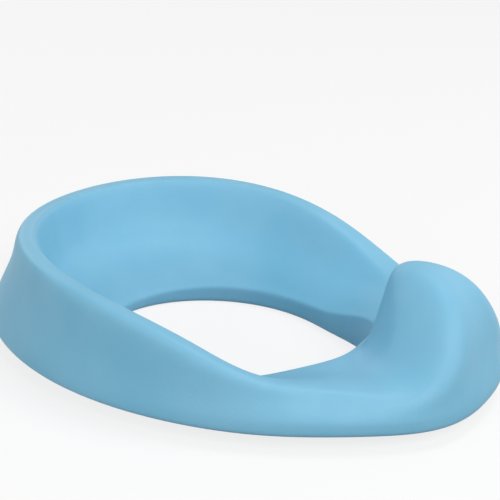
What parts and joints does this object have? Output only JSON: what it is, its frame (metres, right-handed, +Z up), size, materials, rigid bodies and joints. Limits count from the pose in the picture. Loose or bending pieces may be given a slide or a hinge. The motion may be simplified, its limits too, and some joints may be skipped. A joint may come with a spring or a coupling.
{
  "type": "potty training seat",
  "caption": "Soft moulded child's training seat that lies on a toilet seat, with a wrap-round back, a splash guard and a collar below.",
  "frame": {"origin": "middle of the outline, at the foot of the collar", "axes": "+Z up, +Y towards the back of the seat, -Y towards the splash guard, +X to the sitter's left"},
  "size_m": [0.2484, 0.33, 0.0849],
  "materials": {
    "foam_skin": "self-skinned soft foam, light blue, matt with a faint sheen"
  },
  "bodies": {
    "root": {"seat_body": "foam_skin"}
  },
  "joints": []
}
